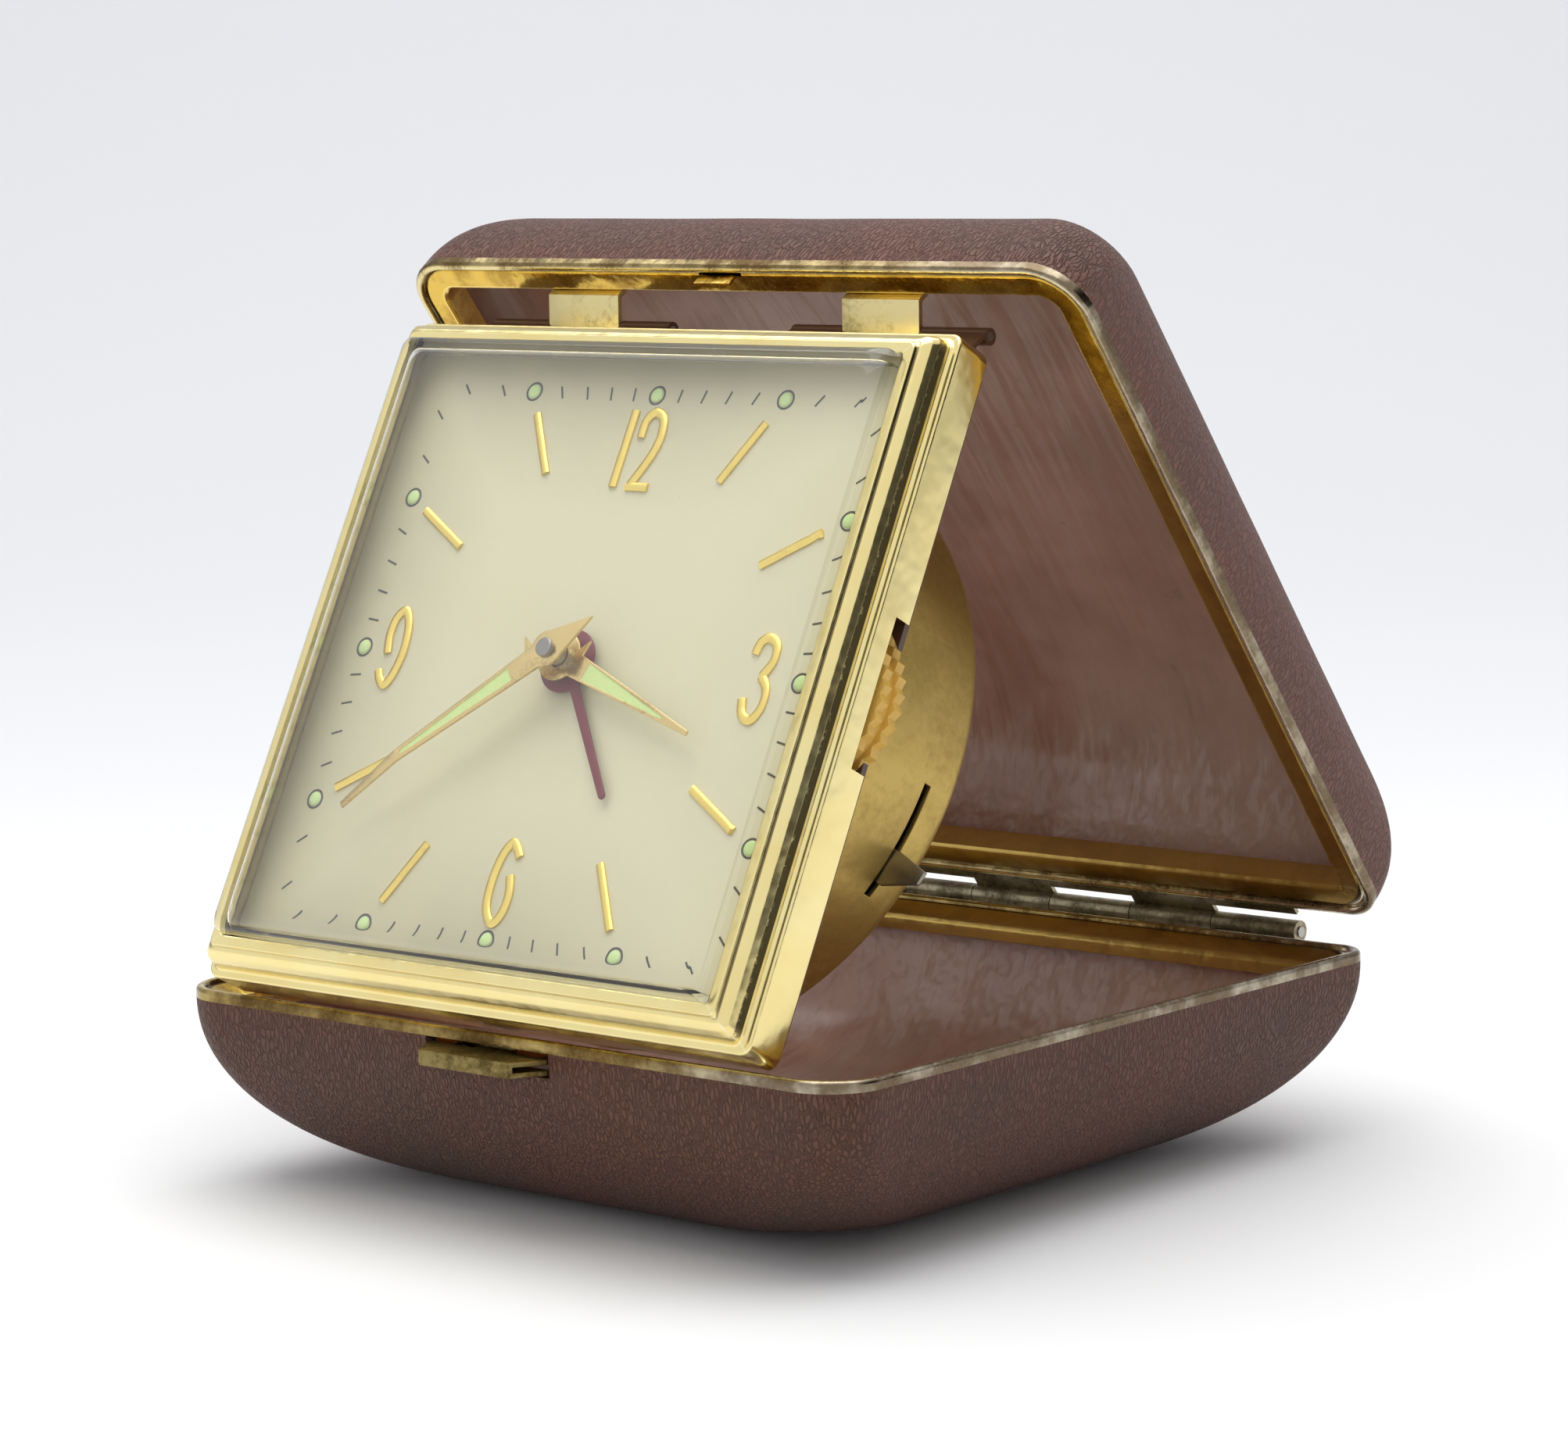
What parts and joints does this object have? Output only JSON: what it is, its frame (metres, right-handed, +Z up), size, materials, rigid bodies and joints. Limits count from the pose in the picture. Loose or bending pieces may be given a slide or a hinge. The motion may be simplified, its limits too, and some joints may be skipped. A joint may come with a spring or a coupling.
{
  "type": "folding travel alarm clock",
  "caption": "Square travel alarm clock hung in a padded clamshell case that folds open to stand on its base.",
  "frame": {"origin": "centre of the base's flat bottom, on the surface that the clock stands on", "axes": "+Z up, +X to the right as one looks at the dial, +Y from the dial side back to the case hinge"},
  "size_m": [0.076, 0.0885, 0.0835],
  "materials": {
    "leatherette": "grained coated cloth over a thin pad, worn at the edges",
    "case_shell": "pressed sheet steel, dull primer",
    "lining": "fine corded lining cloth, scuffed",
    "rim_brass": "gilt brass with a worn bead",
    "hinge_metal": "dull plated brass",
    "steel": "plain steel",
    "latch_brass": "dull olive brass",
    "spring_steel": "blued spring steel",
    "hanger_brass": "bright pale brass",
    "brown_enamel": "brown stoved enamel",
    "gilt": "polished gilt brass with a satin band",
    "crystal": "clear moulded crystal",
    "dial_paint": "pale greenish cream enamel",
    "gilt_marks": "polished gilt",
    "gilt_hands": "gilt brass",
    "lume": "pale green luminous paint",
    "maroon_paint": "maroon enamel",
    "wheel_brass": "plain brass",
    "amber_plastic": "butterscotch moulding",
    "drum_brass": "matt aged brass",
    "plate_brass": "plain sheet brass",
    "lever_steel": "bright steel",
    "nut_steel": "grey domed nut"
  },
  "bodies": {
    "base": {"base_cover": "leatherette", "base_shell": "case_shell", "base_rim": "rim_brass", "base_lining": "lining", "base_hinge_leaf": "hinge_metal", "case_hinge_pin": "steel", "latch_spring": "spring_steel"},
    "latch": {"latch_button": "latch_brass"},
    "lid": {"lid_cover": "leatherette", "lid_shell": "case_shell", "lid_rim": "rim_brass", "lid_lining": "lining", "lid_hinge_leaf": "hinge_metal", "lid_catch": "steel", "clock_hangers": "hanger_brass", "clock_hinge_pins": "steel"},
    "clock": {"clock_hinge_leaf": "brown_enamel", "bezel": "gilt", "crystal": "crystal", "dial": "dial_paint", "numerals": "gilt_marks", "hour_batons": "gilt_marks", "hour_dots": "lume", "mounting_plate": "brown_enamel", "drum_case": "drum_brass", "front_plate": "plate_brass", "rear_plate": "plate_brass", "plate_pillars": "plate_brass", "plate_screws": "steel", "rear_cover": "drum_brass", "cover_screws": "steel", "hairspring": "spring_steel"},
    "minute_arbor": {"minute_hand": "gilt_hands", "minute_hand_lume": "lume", "cannon_pinion": "steel", "centre_nut": "nut_steel"},
    "hour_pipe": {"hour_hand": "gilt_hands", "hour_hand_lume": "lume", "hour_wheel": "wheel_brass"},
    "alarm_pipe": {"alarm_hand": "maroon_paint", "alarm_wheel": "wheel_brass"},
    "minute_gear": {"minute_wheel": "wheel_brass"},
    "idler": {"setting_idler": "wheel_brass"},
    "thumb": {"thumbwheel": "amber_plastic"},
    "centre": {"centre_wheel": "wheel_brass"},
    "third": {"third_wheel": "wheel_brass"},
    "fourth": {"fourth_wheel": "wheel_brass"},
    "escape": {"escape_wheel": "wheel_brass"},
    "going": {"going_barrel": "wheel_brass", "going_mainspring": "spring_steel"},
    "alarm_drive": {"alarm_barrel": "wheel_brass", "alarm_mainspring": "spring_steel"},
    "alarm_escape": {"alarm_escape_wheel": "wheel_brass"},
    "pallet": {"pallet_fork": "steel"},
    "balance": {"balance_wheel": "wheel_brass"},
    "hammer": {"alarm_hammer": "steel"},
    "winder": {"time_key": "plate_brass"},
    "alarm_winder": {"alarm_key": "plate_brass"},
    "alarm_setter": {"alarm_set_knob": "plate_brass"},
    "shutoff": {"shutoff_lever": "lever_steel"}
  },
  "joints": [
    {"name": "lid_hinge", "type": "hinge", "parent": "base", "child": "lid", "pos_m": [0, 0.04093, 0.0174], "axis": [-1, 0, 0], "range_deg": [0, 63]},
    {"name": "clock_fold", "type": "hinge", "parent": "lid", "child": "clock", "pos_m": [0, -0.0049, 0.07396], "axis": [1, 0, 0], "range_deg": [0, 65.34]},
    {"name": "latch_slide", "type": "slide", "parent": "base", "child": "latch", "axis": [0, 1, 0], "range_m": [0, 0.0005], "stiffness_N_per_m": 60, "deforming": ["latch_spring"]},
    {"name": "thumbwheel_turn", "type": "hinge", "parent": "clock", "child": "thumb", "pos_m": [0.023, -0.02896, 0.04835], "axis": [0, 0.8881, -0.4597], "continuous": true},
    {"name": "idler_turn", "type": "hinge", "parent": "clock", "child": "idler", "pos_m": [0.0135, -0.02896, 0.04835], "axis": [0, 0.8881, -0.4597], "continuous": true},
    {"name": "minute_wheel_turn", "type": "hinge", "parent": "clock", "child": "minute_gear", "pos_m": [0.006, -0.02896, 0.04835], "axis": [0, 0.8881, -0.4597], "continuous": true},
    {"name": "minute_hand_turn", "type": "hinge", "parent": "clock", "child": "minute_arbor", "pos_m": [0, -0.02896, 0.04835], "axis": [0, 0.8881, -0.4597], "continuous": true},
    {"name": "hour_hand_turn", "type": "hinge", "parent": "clock", "child": "hour_pipe", "pos_m": [0, -0.02896, 0.04835], "axis": [0, 0.8881, -0.4597], "continuous": true},
    {"name": "alarm_knob_turn", "type": "hinge", "parent": "clock", "child": "alarm_setter", "pos_m": [-0.0053, -0.0314, 0.04364], "axis": [0, 0.8881, -0.4597], "continuous": true},
    {"name": "alarm_hand_turn", "type": "hinge", "parent": "clock", "child": "alarm_pipe", "pos_m": [0, -0.02896, 0.04835], "axis": [0, 0.8881, -0.4597], "continuous": true},
    {"name": "fourth_wheel_turn", "type": "hinge", "parent": "clock", "child": "fourth", "pos_m": [0.00989, -0.02526, 0.05551], "axis": [0, 0.8881, -0.4597], "continuous": true},
    {"name": "third_wheel_turn", "type": "hinge", "parent": "clock", "child": "third", "pos_m": [0.0034, -0.02625, 0.05358], "axis": [0, 0.8881, -0.4597], "continuous": true},
    {"name": "centre_wheel_turn", "type": "hinge", "parent": "clock", "child": "centre", "pos_m": [0, -0.02896, 0.04835], "axis": [0, 0.8881, -0.4597], "continuous": true},
    {"name": "going_barrel_turn", "type": "hinge", "parent": "clock", "child": "going", "pos_m": [-0.01091, -0.02606, 0.05395], "axis": [0, 0.8881, -0.4597], "continuous": true},
    {"name": "escape_wheel_turn", "type": "hinge", "parent": "clock", "child": "escape", "pos_m": [0.01444, -0.02701, 0.05212], "axis": [0, 0.8881, -0.4597], "continuous": true},
    {"name": "pallet_rock", "type": "hinge", "parent": "clock", "child": "pallet", "pos_m": [0.01615, -0.02877, 0.04871], "axis": [0, 0.8881, -0.4597], "range_deg": [-5, 5]},
    {"name": "balance_swing", "type": "hinge", "parent": "clock", "child": "balance", "pos_m": [0.0152, -0.032, 0.04249], "axis": [0, 0.8881, -0.4597], "range_deg": [-150, 150], "deforming": ["hairspring"]},
    {"name": "alarm_barrel_turn", "type": "hinge", "parent": "clock", "child": "alarm_drive", "pos_m": [-0.008, -0.03678, 0.03326], "axis": [0, 0.8881, -0.4597], "continuous": true},
    {"name": "alarm_escape_turn", "type": "hinge", "parent": "clock", "child": "alarm_escape", "pos_m": [-0.00053, -0.03708, 0.03268], "axis": [0, 0.8881, -0.4597], "continuous": true},
    {"name": "hammer_rock", "type": "hinge", "parent": "clock", "child": "hammer", "pos_m": [0.00467, -0.03708, 0.03268], "axis": [0, 0.8881, -0.4597], "range_deg": [0, 5]},
    {"name": "time_key_turn", "type": "hinge", "parent": "clock", "child": "winder", "pos_m": [-0.01091, -0.02606, 0.05395], "axis": [0, 0.8881, -0.4597], "continuous": true},
    {"name": "alarm_key_turn", "type": "hinge", "parent": "clock", "child": "alarm_winder", "pos_m": [-0.008, -0.03678, 0.03326], "axis": [0, 0.8881, -0.4597], "continuous": true},
    {"name": "shutoff_slide", "type": "hinge", "parent": "clock", "child": "shutoff", "pos_m": [0, -0.02896, 0.04835], "axis": [0, -0.8881, 0.4597], "range_deg": [0, 11]}
  ],
  "couplings": [
    {"joint": "idler_turn", "follows": "thumbwheel_turn", "ratio": -2.1667},
    {"joint": "minute_wheel_turn", "follows": "thumbwheel_turn", "ratio": 1.4444},
    {"joint": "minute_hand_turn", "follows": "thumbwheel_turn", "ratio": -4.3333},
    {"joint": "hour_hand_turn", "follows": "thumbwheel_turn", "ratio": -0.36111},
    {"joint": "alarm_hand_turn", "follows": "alarm_knob_turn", "ratio": -0.5},
    {"joint": "third_wheel_turn", "follows": "fourth_wheel_turn", "ratio": -0.125},
    {"joint": "centre_wheel_turn", "follows": "fourth_wheel_turn", "ratio": 0.016667},
    {"joint": "going_barrel_turn", "follows": "fourth_wheel_turn", "ratio": -0.0020833},
    {"joint": "escape_wheel_turn", "follows": "fourth_wheel_turn", "ratio": -10},
    {"joint": "alarm_escape_turn", "follows": "alarm_barrel_turn", "ratio": -6.5}
  ]
}
